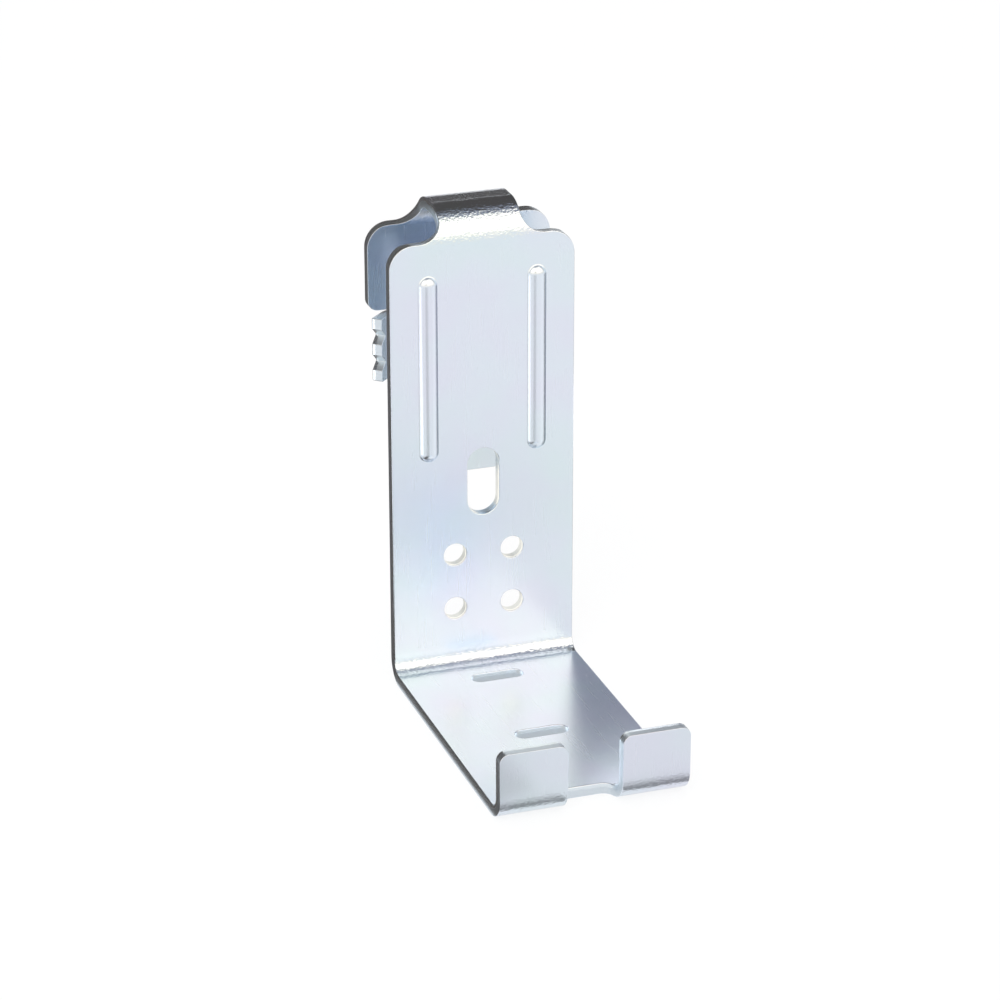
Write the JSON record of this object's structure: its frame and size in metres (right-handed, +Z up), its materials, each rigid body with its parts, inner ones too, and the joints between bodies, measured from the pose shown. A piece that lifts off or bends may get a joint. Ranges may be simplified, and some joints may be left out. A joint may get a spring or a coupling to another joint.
{
  "type": "cable support bracket",
  "caption": "folded steel bracket that hooks over a rail and carries cables on a shelf with upturned lips",
  "frame": {"origin": "on the underside of the shelf, under the middle of the bracket's box", "axes": "+Z up, -Y towards the lips of the shelf, +X to the right seen from the lips"},
  "size_m": [0.0444, 0.096, 0.1147],
  "materials": {
    "zinc_plated_steel": "bright zinc plate with a clear blue passivate"
  },
  "bodies": {
    "root": {"folded_bracket": "zinc_plated_steel"}
  },
  "joints": []
}
